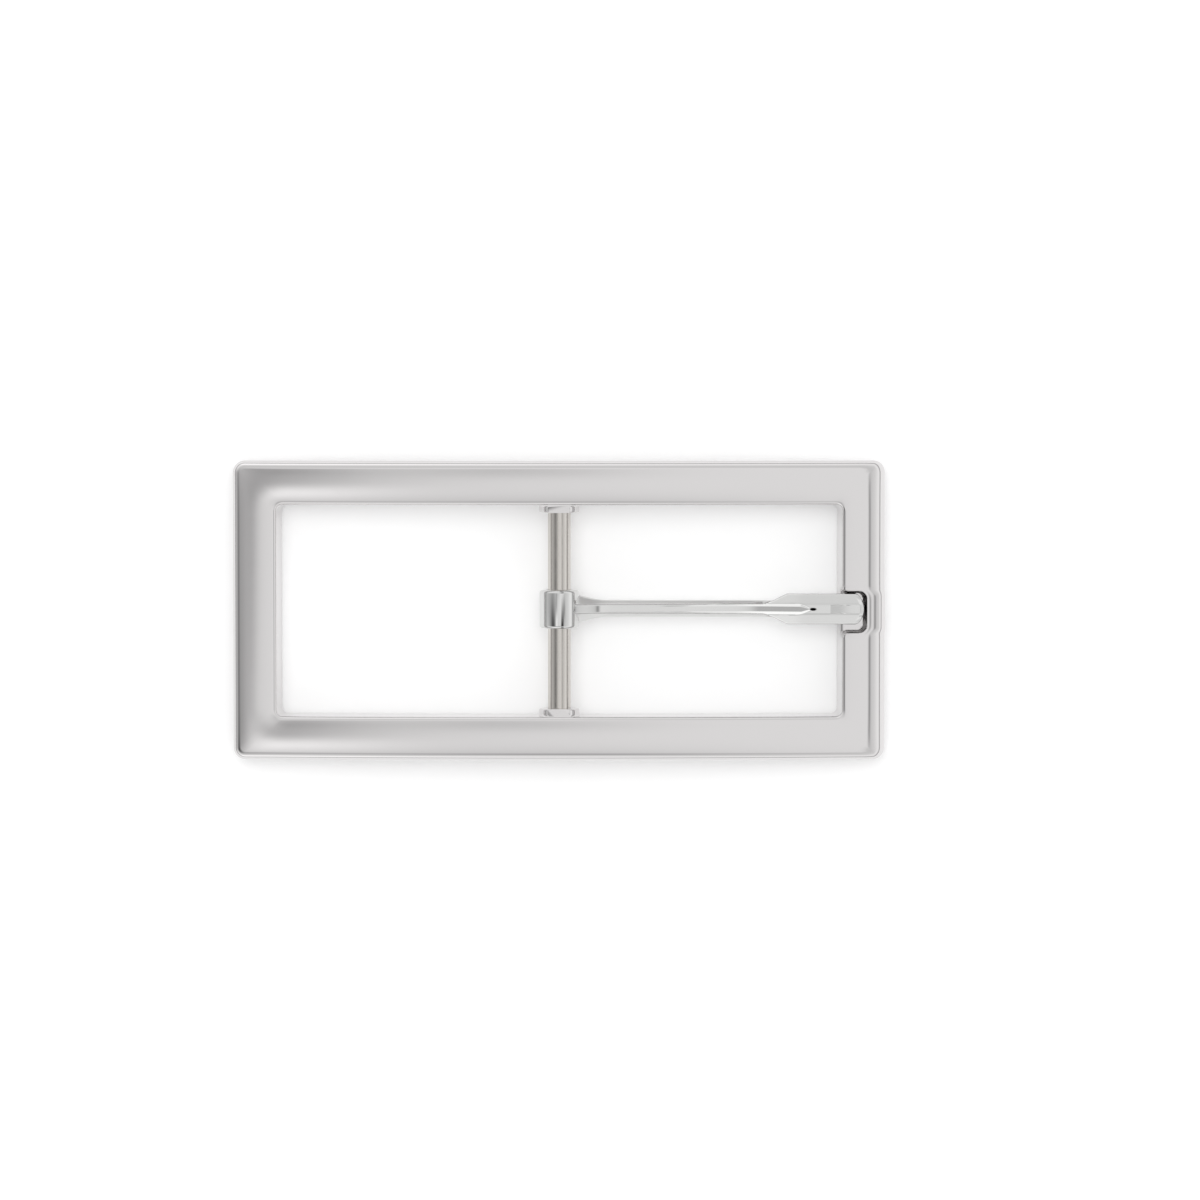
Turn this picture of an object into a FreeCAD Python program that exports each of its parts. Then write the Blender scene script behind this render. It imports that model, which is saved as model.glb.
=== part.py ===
"""Centre-bar belt buckle: bowed cast frame, pressed-in centre bar and a hinged prong.

Millimetres. +X runs along the frame to the prong's notch, +Y across it, +Z out of the front
face. The origin is the middle of the plane that the two end bars lie on.
"""
import FreeCAD, Part
import math
import os

import Sketcher

V = FreeCAD.Vector

# ---------------------------------------------------------------- driving dimensions
SIZES = {
    # frame
    "frame_length": 85.2,
    "frame_width": 39.0,
    "frame_thickness": 4.6,
    "bow_radius": 400.0,       # front face, arched along X
    "back_rise": 1.95,         # back of the arch above the plane it lies on
    "corner_radius": 1.6,
    "front_round": 1.1,        # outer edge of the front face
    "back_round": 0.4,
    "window_length": 74.0,     # both taken at the height of the arch's top
    "window_width": 27.6,
    "window_end_draft": 0.11,  # how far each wall leans in for each mm down
    "window_side_draft": 0.045,
    "window_corner": 0.8,
    "window_round": 0.6,       # front edge round the window
    # notch for the prong
    "notch_width": 5.4,
    "notch_depth": 1.9,
    "notch_end": 40.0,         # far wall, from the frame's middle
    "notch_corner": 1.0,
    "notch_shift": -0.15,      # off the middle, across the frame
    # centre bar and its bosses
    "bar_diameter": 3.0,
    "bar_height": 1.95,        # axis above the back of the frame
    "bar_recess": 0.15,        # pin end below the side wall
    "bar_socket": 3.0,         # blind depth in the far long bar
    "bar_chamfer": 0.2,
    "boss_diameter": 5.3,
    "boss_proud": 1.0,
    "boss_embed": 1.5,
    "boss_below_face": 0.3,
    "boss_above_back": 0.1,
    # prong
    "prong_shift": 0.2,        # where it rests along the centre bar
    "eye_clearance": 0.05,
    "eye_diameter": 5.2,
    "eye_width": 5.0,
    "arm_width": 2.2,
    "arm_height": 2.2,
    "arm_drop": 1.1,           # arm's top below the blade's
    "blade_width": 4.0,
    "blade_height": 2.35,
    "blade_gap": 0.05,         # above the notch floor
    "ridge_width": 1.5,        # flat strip along the blade's top
    "facet_drop": 0.7,
    "prow_start": 26.4,
    "prow_end": 29.6,
    "bend_start": 32.7,        # where the flat top starts to fall towards the arm
    "crank_start": 27.0,       # the underside steps up to the blade between these two
    "crank_end": 32.0,
    "tip_reach": 39.75,
    "tip_radius": 3.2,
    "tip_bevel": 0.45,
}


def new_sheet(document):
    """Spreadsheet with one aliased cell for each driving dimension."""
    sheet = document.addObject("Spreadsheet::Sheet", "sizes")
    for row, (name, value) in enumerate(SIZES.items(), start=1):
        sheet.set(f"A{row}", name)
        sheet.set(f"B{row}", str(value))
        sheet.setAlias(f"B{row}", name)
    document.recompute()
    return sheet


doc = FreeCAD.newDocument("buckle")
sizes = new_sheet(doc)

# Places that follow from the driving dimensions, as expressions and as numbers.
FACE_TOP = "(sizes.back_rise + sizes.frame_thickness)"
BAR_AXIS = "(sizes.back_rise + sizes.bar_height)"
BACK_RADIUS = "(sizes.bow_radius - sizes.frame_thickness)"
NOTCH_MIDDLE = "((sizes.notch_end + sizes.window_length / 2) / 2)"
NOTCH_FLOOR = (
    f"({FACE_TOP} - sizes.bow_radius + sqrt(sizes.bow_radius ^ 2 - {NOTCH_MIDDLE} ^ 2)"
    " - sizes.notch_depth)"
)
BLADE_UNDER = f"({NOTCH_FLOOR} + sizes.blade_gap)"
BLADE_TOP = f"({BLADE_UNDER} + sizes.blade_height)"
ARM_TOP = f"({BLADE_TOP} - sizes.arm_drop)"
ARM_UNDER = f"({ARM_TOP} - sizes.arm_height)"
PASS = 5.0  # how far a cutting tool runs past the metal


def number(expression):
    """Value of an expression over the sheet, for placing geometry before it is constrained."""
    return float(sizes.evalExpression(expression.replace("sizes.", "")))


# ---------------------------------------------------------------- helpers
def new_body(label):
    body = doc.addObject("PartDesign::Body", label)
    body.Label = label
    return body


def plane(body, role):
    return next(f for f in body.Origin.OriginFeatures if f.Role == role)


def new_sketch(body, name, role, offset="0"):
    """Sketch on one of the body's origin planes, lifted along the plane's normal."""
    sketch = body.newObject("Sketcher::SketchObject", name)
    sketch.AttachmentSupport = [(plane(body, role), "")]
    sketch.MapMode = "FlatFace"
    sketch.setExpression("AttachmentOffset.Base.z", offset)
    return sketch


def bind(sketch, kind, places, expression, name):
    """Driving constraint that reads its value from the sheet."""
    value = number(expression)
    index = sketch.addConstraint(Sketcher.Constraint(kind, *places, value))
    sketch.renameConstraint(index, name)
    sketch.setExpression(f"Constraints.{name}", expression)


def polygon(sketch, corners):
    """Closed outline whose corners are pinned by expressions: (x, y) pairs of strings."""
    points = [V(number(x), number(y), 0) for x, y in corners]
    count = len(points)
    for i in range(count):
        sketch.addGeometry(Part.LineSegment(points[i], points[(i + 1) % count]))
    for i in range(count):
        sketch.addConstraint(Sketcher.Constraint("Coincident", i, 2, (i + 1) % count, 1))
    for i, (x, y) in enumerate(corners):
        pin(sketch, i, 1, x, y, f"corner{i}")


def pin(sketch, geometry, point, x, y, name):
    """Fix one point of the geometry at expressions x and y, on either side of the axes."""
    for kind, expression, axis in (("DistanceX", x, "x"), ("DistanceY", y, "y")):
        value = number(expression)
        if abs(value) < 1e-9:
            line = -2 if axis == "x" else -1
            sketch.addConstraint(Sketcher.Constraint("PointOnObject", geometry, point, line))
        elif value > 0:
            bind(sketch, kind, (-1, 1, geometry, point), expression, f"{name}{axis}")
        else:
            bind(sketch, kind, (geometry, point, -1, 1), f"-({expression})", f"{name}{axis}")


def circle(sketch, x, y, diameter, name):
    centre = V(number(x), number(y), 0)
    index = sketch.addGeometry(Part.Circle(centre, V(0, 0, 1), number(diameter) / 2))
    pin(sketch, index, 3, x, y, f"{name}_centre")
    bind(sketch, "Diameter", (index,), diameter, f"{name}_diameter")


def pad(body, name, sketch, length, midplane=False, reverse=False):
    feature = body.newObject("PartDesign::Pad", name)
    feature.Profile = sketch
    feature.SideType = "Symmetric" if midplane else "One side"
    feature.Reversed = reverse
    feature.setExpression("Length", length)
    sketch.Visibility = False
    doc.recompute()
    return feature


def pocket(body, name, sketch, length, midplane=False, reverse=False):
    """Pocket that has to take some metal away."""
    before = body.Shape.Volume
    feature = body.newObject("PartDesign::Pocket", name)
    feature.Profile = sketch
    feature.SideType = "Symmetric" if midplane else "One side"
    feature.Reversed = reverse
    feature.setExpression("Length", length)
    doc.recompute()
    if not body.Shape.Volume < before - 1e-6:
        raise RuntimeError(f"{name} cuts nothing")
    return feature


def edges_where(shape, wanted):
    """Names of the edges whose bounding box passes the test."""
    return [f"Edge{i}" for i, edge in enumerate(shape.Edges, start=1) if wanted(edge)]


def dress(body, kind, name, base, edges, property_name, expression):
    """Fillet or chamfer on named edges of a feature."""
    if not edges:
        raise RuntimeError(f"{name} found no edges")
    feature = body.newObject(f"PartDesign::{kind}", name)
    feature.Base = (base, edges)
    feature.setExpression(property_name, expression)
    doc.recompute()
    return feature


# ---------------------------------------------------------------- frame
def arch_sketch(body):
    """Side view of the frame: two arcs of one centre, cut level where the ends lie down."""
    sketch = new_sketch(body, "ArchSketch", "XZ_Plane")
    half = number("sizes.frame_length / 2")
    top = number(FACE_TOP)
    rise = number("sizes.back_rise")
    front = number("sizes.bow_radius")
    back = number(BACK_RADIUS)
    land = math.sqrt(back**2 - (back - rise) ** 2)
    shoulder = top - front + math.sqrt(front**2 - half**2)
    front_middle = V(0, top, 0)
    back_middle = V(0, rise, 0)
    sketch.addGeometry(
        [
            Part.LineSegment(V(-half, 0, 0), V(-land, 0, 0)),
            Part.Arc(V(land, 0, 0), back_middle, V(-land, 0, 0)),
            Part.LineSegment(V(land, 0, 0), V(half, 0, 0)),
            Part.LineSegment(V(half, 0, 0), V(half, shoulder, 0)),
            Part.Arc(V(half, shoulder, 0), front_middle, V(-half, shoulder, 0)),
            Part.LineSegment(V(-half, shoulder, 0), V(-half, 0, 0)),
        ]
    )
    joined = [((0, 2), (1, 2)), ((1, 1), (2, 1)), ((2, 2), (3, 1)),
              ((3, 2), (4, 1)), ((4, 2), (5, 1)), ((5, 2), (0, 1))]
    for first, second in joined:
        sketch.addConstraint(Sketcher.Constraint("Coincident", *first, *second))
    for place in ((0, 1), (0, 2), (2, 1), (2, 2)):
        sketch.addConstraint(Sketcher.Constraint("PointOnObject", *place, -1))
    for arc in (1, 4):
        sketch.addConstraint(Sketcher.Constraint("PointOnObject", arc, 3, -2))
    for line in (3, 5):
        sketch.addConstraint(Sketcher.Constraint("Vertical", line))
    bind(sketch, "DistanceX", (-1, 1, 2, 2), "sizes.frame_length / 2", "right_end")
    bind(sketch, "DistanceX", (0, 1, -1, 1), "sizes.frame_length / 2", "left_end")
    bind(sketch, "Radius", (4,), "sizes.bow_radius", "front_radius")
    bind(sketch, "Radius", (1,), BACK_RADIUS, "back_radius")
    bind(sketch, "DistanceY", (4, 3, -1, 1), f"sizes.bow_radius - {FACE_TOP}", "front_centre")
    bind(sketch, "DistanceY", (1, 3, -1, 1), f"{BACK_RADIUS} - sizes.back_rise", "back_centre")
    return sketch


def cut_window(body):
    """Window with leaning walls, wider at the front face than at the back."""
    window = body.newObject("PartDesign::SubtractiveWedge", "Window")
    window.AttachmentSupport = [(plane(body, "XZ_Plane"), "")]
    window.MapMode = "FlatFace"
    # The wedge's own Y runs up the frame's Z, and its own Z across the frame.
    window.setExpression("Ymin", f"-{PASS}")
    window.setExpression("Ymax", f"{FACE_TOP} + {PASS}")
    below = f"({FACE_TOP} + {PASS})"
    for end, sign in (("min", "-1"), ("max", "1")):
        for axis, half, lean in (
            ("X", "sizes.window_length / 2", "sizes.window_end_draft"),
            ("Z", "sizes.window_width / 2", "sizes.window_side_draft"),
        ):
            window.setExpression(f"{axis}{end}", f"{sign} * ({half} - {lean} * {below})")
            window.setExpression(f"{axis}2{end}", f"{sign} * ({half} + {lean} * {PASS})")
    doc.recompute()
    return window


def boss_sketch(body):
    """Boss outline: a circle about the bar's axis, levelled off above and below."""
    sketch = new_sketch(body, "BossSketch", "XZ_Plane",
                        "sizes.window_width / 2 - sizes.boss_proud")
    radius = number("sizes.boss_diameter / 2")
    axis = number(BAR_AXIS)
    top = number(f"{FACE_TOP} - sizes.boss_below_face")
    bottom = number("sizes.back_rise + sizes.boss_above_back")
    top_half = math.sqrt(radius**2 - (top - axis) ** 2)
    bottom_half = math.sqrt(radius**2 - (bottom - axis) ** 2)
    sketch.addGeometry(
        [
            Part.LineSegment(V(-top_half, top, 0), V(top_half, top, 0)),
            Part.Arc(V(bottom_half, bottom, 0), V(radius, axis, 0), V(top_half, top, 0)),
            Part.LineSegment(V(bottom_half, bottom, 0), V(-bottom_half, bottom, 0)),
            Part.Arc(V(-top_half, top, 0), V(-radius, axis, 0), V(-bottom_half, bottom, 0)),
        ]
    )
    joined = [((0, 2), (1, 2)), ((1, 1), (2, 1)), ((2, 2), (3, 2)), ((3, 1), (0, 1))]
    for first, second in joined:
        sketch.addConstraint(Sketcher.Constraint("Coincident", *first, *second))
    for line in (0, 2):
        sketch.addConstraint(Sketcher.Constraint("Horizontal", line))
    for arc in (1, 3):
        sketch.addConstraint(Sketcher.Constraint("PointOnObject", arc, 3, -2))
    bind(sketch, "Diameter", (1,), "sizes.boss_diameter", "right_side")
    bind(sketch, "Diameter", (3,), "sizes.boss_diameter", "left_side")
    bind(sketch, "DistanceY", (-1, 1, 1, 3), BAR_AXIS, "right_centre")
    bind(sketch, "DistanceY", (-1, 1, 3, 3), BAR_AXIS, "left_centre")
    bind(sketch, "DistanceY", (-1, 1, 0, 1), f"{FACE_TOP} - sizes.boss_below_face", "top_level")
    bind(sketch, "DistanceY", (-1, 1, 2, 1), "sizes.back_rise + sizes.boss_above_back",
         "bottom_level")
    return sketch


def make_frame():
    """One casting: outline, window, bosses, bar hole, prong notch, then the rounded edges."""
    body = new_body("frame")
    last = pad(body, "Arch", arch_sketch(body), "sizes.frame_width", midplane=True)

    half_length = number("sizes.frame_length / 2")
    half_width = number("sizes.frame_width / 2")
    window_x = number("sizes.window_length / 2")
    window_y = number("sizes.window_width / 2")
    thickness = number("sizes.frame_thickness")

    def at(edge, x, y, reach):
        box = edge.BoundBox
        near_x = abs(abs(box.Center.x) - x) < reach
        near_y = abs(abs(box.Center.y) - y) < reach
        return near_x and near_y and box.ZLength > thickness / 2

    corners = edges_where(last.Shape, lambda e: at(e, half_length, half_width, 0.1))
    last = dress(body, "Fillet", "OuterCorners", last, corners, "Radius", "sizes.corner_radius")
    last = cut_window(body)
    corners = edges_where(last.Shape, lambda e: at(e, window_x, window_y, 0.6))
    last = dress(body, "Fillet", "WindowCorners", last, corners, "Radius", "sizes.window_corner")

    def front_loop(edge, outside):
        box = edge.BoundBox
        face = number(FACE_TOP) - number("sizes.bow_radius") + math.sqrt(
            number("sizes.bow_radius") ** 2 - box.Center.x**2)
        on_face = box.ZMin > thickness / 2 and abs(box.ZMax - face) < 1.6
        margin = 0.9
        inside = box.XMax < window_x + margin and box.XMin > -window_x - margin
        inside = inside and box.YMax < window_y + margin and box.YMin > -window_y - margin
        return on_face and box.ZLength < thickness / 2 and inside != outside

    outer = edges_where(last.Shape, lambda e: front_loop(e, True))
    last = dress(body, "Fillet", "FrontRound", last, outer, "Radius", "sizes.front_round")
    inner = edges_where(last.Shape, lambda e: front_loop(e, False))
    last = dress(body, "Fillet", "WindowRound", last, inner, "Radius", "sizes.window_round")

    def back_loop(edge):
        box = edge.BoundBox
        on_side = max(abs(box.Center.x) - half_length, abs(box.Center.y) - half_width)
        return box.ZMax < number("sizes.back_rise") + 0.1 and on_side > -0.8

    back = edges_where(last.Shape, back_loop)
    dress(body, "Fillet", "BackRound", last, back, "Radius", "sizes.back_round")

    boss = pad(body, "Boss", boss_sketch(body), "sizes.boss_proud + sizes.boss_embed")
    both = body.newObject("PartDesign::Mirrored", "Bosses")
    both.Originals = [boss]
    both.MirrorPlane = (plane(body, "XZ_Plane"), [""])
    body.Tip = both
    doc.recompute()

    sketch = new_sketch(body, "BarHoleSketch", "XZ_Plane", f"sizes.frame_width / 2 + {PASS}")
    circle(sketch, "0", BAR_AXIS, "sizes.bar_diameter", "bore")
    reach = f"sizes.frame_width / 2 + {PASS} + sizes.window_width / 2 + sizes.bar_socket"
    pocket(body, "BarHole", sketch, reach)

    sketch = new_sketch(body, "NotchSketch", "XY_Plane", NOTCH_FLOOR)
    mouth = "sizes.window_length / 2 - 1"
    low = "sizes.notch_shift - sizes.notch_width / 2"
    high = "sizes.notch_shift + sizes.notch_width / 2"
    end = "sizes.notch_end"
    polygon(sketch, [(mouth, low), (end, low), (end, high), (mouth, high)])
    cut = pocket(body, "Notch", sketch, "sizes.frame_thickness", reverse=True)

    end_x = number(end)
    sides = (number(low), number(high))
    upright = edges_where(
        cut.Shape,
        lambda e: e.BoundBox.ZLength > 1
        and abs(e.BoundBox.Center.x - end_x) < 0.05
        and min(abs(e.BoundBox.Center.y - y) for y in sides) < 0.05,
    )
    dress(body, "Fillet", "NotchCorners", cut, upright, "Radius", "sizes.notch_corner")
    return body


# ---------------------------------------------------------------- centre bar
def make_centre_bar():
    """Steel pin, pressed in from one long side until it is just below the wall."""
    body = new_body("centre_bar")
    start = "sizes.frame_width / 2 - sizes.bar_recess"
    sketch = new_sketch(body, "PinSketch", "XZ_Plane", start)
    circle(sketch, "0", BAR_AXIS, "sizes.bar_diameter", "pin")
    length = f"{start} + sizes.window_width / 2 + sizes.bar_socket - sizes.bar_recess"
    pin_pad = pad(body, "Pin", sketch, length, reverse=True)
    rims = edges_where(pin_pad.Shape, lambda e: e.BoundBox.YLength < 0.01)
    dress(body, "Chamfer", "PinEnds", pin_pad, rims, "Size", "sizes.bar_chamfer")
    return body


# ---------------------------------------------------------------- prong
def plan_sketch(body):
    """Top view of the prong: narrow arm, pointed shoulders, blade, and an arc for its tip."""
    sketch = new_sketch(body, "PlanSketch", "XY_Plane")
    shift = number("sizes.prong_shift")
    arm = number("sizes.arm_width / 2")
    blade = number("sizes.blade_width / 2")
    radius = number("sizes.tip_radius")
    reach = number("sizes.tip_reach")
    tip_start = reach - radius + math.sqrt(radius**2 - blade**2)
    corners = [
        V(0, shift - arm, 0),
        V(number("sizes.prow_start"), shift - arm, 0),
        V(number("sizes.prow_end"), shift - blade, 0),
        V(tip_start, shift - blade, 0),
        V(tip_start, shift + blade, 0),
        V(number("sizes.prow_end"), shift + blade, 0),
        V(number("sizes.prow_start"), shift + arm, 0),
        V(0, shift + arm, 0),
    ]
    for i in (0, 1, 2):
        sketch.addGeometry(Part.LineSegment(corners[i], corners[i + 1]))
    sketch.addGeometry(Part.Arc(corners[3], V(reach, shift, 0), corners[4]))
    for i in (4, 5, 6, 7):
        sketch.addGeometry(Part.LineSegment(corners[i], corners[(i + 1) % 8]))
    for i in range(8):
        sketch.addConstraint(Sketcher.Constraint("Coincident", i, 2, (i + 1) % 8, 1))
    places = {
        0: ("0", "sizes.prong_shift - sizes.arm_width / 2"),
        1: ("sizes.prow_start", "sizes.prong_shift - sizes.arm_width / 2"),
        2: ("sizes.prow_end", "sizes.prong_shift - sizes.blade_width / 2"),
        5: ("sizes.prow_end", "sizes.prong_shift + sizes.blade_width / 2"),
        6: ("sizes.prow_start", "sizes.prong_shift + sizes.arm_width / 2"),
        7: ("0", "sizes.prong_shift + sizes.arm_width / 2"),
    }
    for geometry, (x, y) in places.items():
        pin(sketch, geometry, 1, x, y, f"corner{geometry}")
    for line in (2, 4):
        sketch.addConstraint(Sketcher.Constraint("Horizontal", line))
    bind(sketch, "Radius", (3,), "sizes.tip_radius", "tip_radius")
    bind(sketch, "DistanceX", (-1, 1, 3, 3), "sizes.tip_reach - sizes.tip_radius", "tip_centre")
    return sketch


def make_prong():
    """One casting: an eye that runs on the centre bar, an arm and a faceted blade."""
    body = new_body("prong")
    pad(body, "Plan", plan_sketch(body), f"{BLADE_TOP} + 1")

    # Everything below the cranked underside, and above the cranked top, is cut away.
    under = new_sketch(body, "UnderSketch", "XZ_Plane")
    far = f"sizes.tip_reach + {PASS}"
    polygon(under, [
        ("-1", "-1"),
        (far, "-1"),
        (far, BLADE_UNDER),
        ("sizes.crank_end", BLADE_UNDER),
        ("sizes.crank_start", ARM_UNDER),
        ("-1", ARM_UNDER),
    ])
    pocket(body, "Underside", under, "2 * sizes.frame_width", midplane=True)
    above = new_sketch(body, "AboveSketch", "XZ_Plane")
    sky = f"{BLADE_TOP} + 2"
    polygon(above, [
        ("-1", ARM_TOP),
        ("sizes.prow_start", ARM_TOP),
        ("sizes.bend_start", BLADE_TOP),
        (far, BLADE_TOP),
        (far, sky),
        ("-1", sky),
    ])
    pocket(body, "Topside", above, "2 * sizes.frame_width", midplane=True)

    # Sloping facets, one each side of the flat ridge, from the shoulders to the tip.
    for name, sign in (("LeftFacet", "1"), ("RightFacet", "-1")):
        facet = new_sketch(body, f"{name}Sketch", "YZ_Plane", "sizes.prow_start")
        ridge = f"sizes.prong_shift + {sign} * sizes.ridge_width / 2"
        edge = f"sizes.prong_shift + {sign} * sizes.blade_width / 2"
        beyond = f"sizes.prong_shift + {sign} * sizes.blade_width"
        slope = "sizes.facet_drop / ((sizes.blade_width - sizes.ridge_width) / 2)"
        low = f"{BLADE_TOP} - {slope} * (sizes.blade_width - sizes.ridge_width / 2)"
        polygon(facet, [(ridge, BLADE_TOP), (beyond, low), (beyond, sky), (ridge, sky)])
        pocket(body, name, facet, "sizes.tip_reach", reverse=True)

    top = number(BLADE_TOP)
    tip_x = number("sizes.tip_reach")
    rim = edges_where(
        body.Shape,
        lambda e: e.BoundBox.XMax > tip_x - 1.5
        and e.BoundBox.XLength < 1.5
        and e.BoundBox.YLength > 0.5
        and e.BoundBox.ZMin > top - number("sizes.facet_drop") - 0.05,
    )
    dress(body, "Chamfer", "TipBevel", body.Tip, rim, "Size", "sizes.tip_bevel")

    eye = new_sketch(body, "EyeSketch", "XZ_Plane", "-sizes.prong_shift")
    circle(eye, "0", BAR_AXIS, "sizes.eye_diameter", "eye")
    pad(body, "Eye", eye, "sizes.eye_width", midplane=True)
    bore = new_sketch(body, "EyeBoreSketch", "XZ_Plane")
    circle(bore, "0", BAR_AXIS, "sizes.bar_diameter + 2 * sizes.eye_clearance", "bore")
    pocket(body, "EyeBore", bore, "sizes.frame_width", midplane=True)
    return body


# ---------------------------------------------------------------- build and export
bodies = [make_frame(), make_centre_bar(), make_prong()]
doc.recompute()

for item in doc.Objects:
    if "Invalid" in item.State or "Error" in item.State:
        raise RuntimeError(f"{item.Name} is {item.State}")

os.makedirs("parts", exist_ok=True)
for body in bodies:
    if body.Shape.isNull() or not body.Shape.isValid():
        raise RuntimeError(f"{body.Label} is not a valid solid")
    if len(body.Shape.Solids) != 1:
        raise RuntimeError(f"{body.Label} has {len(body.Shape.Solids)} solids")
    body.Shape.exportStep(f"parts/{body.Label}.step")
    box = body.Shape.BoundBox
    print(f"{body.Label}: {box.XLength:.2f} x {box.YLength:.2f} x {box.ZLength:.2f} mm, "
          f"{body.Shape.Volume:.1f} mm3")
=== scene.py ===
import math

import bmesh
import bpy
from mathutils import Matrix, Vector


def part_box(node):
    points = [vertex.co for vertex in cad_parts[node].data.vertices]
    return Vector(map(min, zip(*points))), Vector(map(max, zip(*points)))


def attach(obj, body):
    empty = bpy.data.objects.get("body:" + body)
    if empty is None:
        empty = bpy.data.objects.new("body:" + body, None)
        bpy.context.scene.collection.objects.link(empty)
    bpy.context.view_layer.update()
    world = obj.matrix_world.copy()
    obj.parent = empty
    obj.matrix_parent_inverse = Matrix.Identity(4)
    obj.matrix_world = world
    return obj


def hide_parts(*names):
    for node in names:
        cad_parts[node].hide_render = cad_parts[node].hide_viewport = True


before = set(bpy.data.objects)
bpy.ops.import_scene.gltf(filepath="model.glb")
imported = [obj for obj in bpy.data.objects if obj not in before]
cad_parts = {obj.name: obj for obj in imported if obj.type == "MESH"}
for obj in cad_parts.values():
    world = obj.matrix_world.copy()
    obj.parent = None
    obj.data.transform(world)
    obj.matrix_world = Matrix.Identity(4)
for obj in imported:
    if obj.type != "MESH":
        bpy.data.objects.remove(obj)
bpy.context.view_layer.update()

# ---- Frame -------------------------------------------------------------------------------
# The frame is one zinc alloy die casting: a rectangular ring arched along its length, with
# crowned bars, a notch for the prong in one end bar and a boss for the centre bar on each
# long side. It is linished flat where it lies down, then polished, nickelled and chromed.
MM = 0.001  # metres in a millimetre
FRAME_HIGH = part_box("frame")[1]
HALF_LENGTH = FRAME_HIGH.x
HALF_WIDTH = FRAME_HIGH.y
THICKNESS = 4.6 * MM
BACK_RISE = FRAME_HIGH.z - THICKNESS
BOW_RADIUS = 400 * MM
OUTER_CORNER = 1.6 * MM
WINDOW_HALF = Vector((36.8, 13.75)) * MM
WINDOW_CORNER = 0.8 * MM
WALL_LEAN = 0.2 * MM
OUTER_ROUND = 1.0 * MM
WINDOW_ROUND = 0.45 * MM
BACK_ROUND = 0.4 * MM
CORNER_STEPS = 8
LONG_SIDE_CUTS = 84
SHORT_SIDE_CUTS = 36
FRONT_CUTS = 39
BACK_CUTS = 11
WALL_CUTS = 9


def rounded_loop(mesh, half_x, half_y, corner):
    """Rectangle of edges with round corners, its long and short sides cut into steps."""
    stretch = Matrix.Diagonal((half_x, half_y, 1, 1))
    made = bmesh.ops.create_grid(mesh, x_segments=1, y_segments=1, size=1, matrix=stretch)
    bmesh.ops.bevel(
        mesh, geom=made["verts"], offset=corner, offset_type="OFFSET", affect="VERTICES",
        segments=CORNER_STEPS, profile=0.5, material=-1)
    face = next(f for f in mesh.faces if f.is_valid and len(f.verts) > 4)
    edges = list(face.edges)
    bmesh.ops.delete(mesh, geom=[face], context="FACES_ONLY")
    least_side = 10 * MM
    for axis, cuts in ((0, LONG_SIDE_CUTS), (1, SHORT_SIDE_CUTS)):
        sides = [e for e in edges if e.is_valid
                 and abs(e.verts[0].co[axis] - e.verts[1].co[axis]) > least_side]
        bmesh.ops.subdivide_edges(mesh, edges=sides, cuts=cuts)


def rounded_distance(x, y, half_x, half_y, corner):
    """Signed distance to a rectangle with round corners: negative inside it."""
    out_x = abs(x) - half_x + corner
    out_y = abs(y) - half_y + corner
    outside = math.hypot(max(out_x, 0), max(out_y, 0))
    return outside + min(max(out_x, out_y), 0) - corner


def smooth_step(value, low, high):
    """Goes from 0 at low to 1 at high, without a kink at either."""
    share = min(max((value - low) / (high - low), 0), 1)
    return share * share * share * (share * (share * 6 - 15) + 10)


def make_ring():
    """Flat ring of the frame's section, before it is crowned, notched and arched."""
    ring = bmesh.new()
    rounded_loop(ring, HALF_LENGTH, HALF_WIDTH, OUTER_CORNER)
    rounded_loop(ring, WINDOW_HALF.x, WINDOW_HALF.y, WINDOW_CORNER)
    bmesh.ops.bridge_loops(ring, edges=ring.edges[:])
    lifted = bmesh.ops.extrude_face_region(ring, geom=ring.faces[:])
    top = [v for v in lifted["geom"] if isinstance(v, bmesh.types.BMVert)]
    bmesh.ops.translate(ring, verts=top, vec=(0, 0, THICKNESS))
    bmesh.ops.recalc_face_normals(ring, faces=ring.faces[:])

    def rim(level, outer):
        size = (HALF_LENGTH, HALF_WIDTH, OUTER_CORNER) if outer else (*WINDOW_HALF, WINDOW_CORNER)
        return [e for e in ring.edges if all(
            abs(v.co.z - level) < 1e-6 and abs(rounded_distance(v.co.x, v.co.y, *size)) < 1e-5
            for v in e.verts)]

    for level, outer, size, steps in (
        (THICKNESS, True, OUTER_ROUND, 10),
        (THICKNESS, False, WINDOW_ROUND, 7),
        (0, True, BACK_ROUND, 4),
        (0, False, BACK_ROUND, 4),
    ):
        bmesh.ops.bevel(ring, geom=rim(level, outer), offset=size, offset_type="OFFSET",
                        affect="EDGES", segments=steps, profile=0.5, material=-1)

    def spans(wanted):
        """Edges whose two ends pass a test."""
        return [e for e in ring.edges if wanted(*(v.co for v in e.verts))]

    nearly_bar_width = 3.5 * MM

    def across(a, b):
        return abs(a.z - b.z) < 1e-6 and (a - b).length > nearly_bar_width

    middle = THICKNESS / 2
    for cuts, wanted in (
        (FRONT_CUTS, lambda a, b: across(a, b) and a.z > middle),
        (BACK_CUTS, lambda a, b: across(a, b) and a.z < middle),
        (WALL_CUTS, lambda a, b: abs(a.z - b.z) > middle),
    ):
        bmesh.ops.subdivide_edges(ring, edges=spans(wanted), cuts=cuts, use_grid_fill=True)
    return ring


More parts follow.
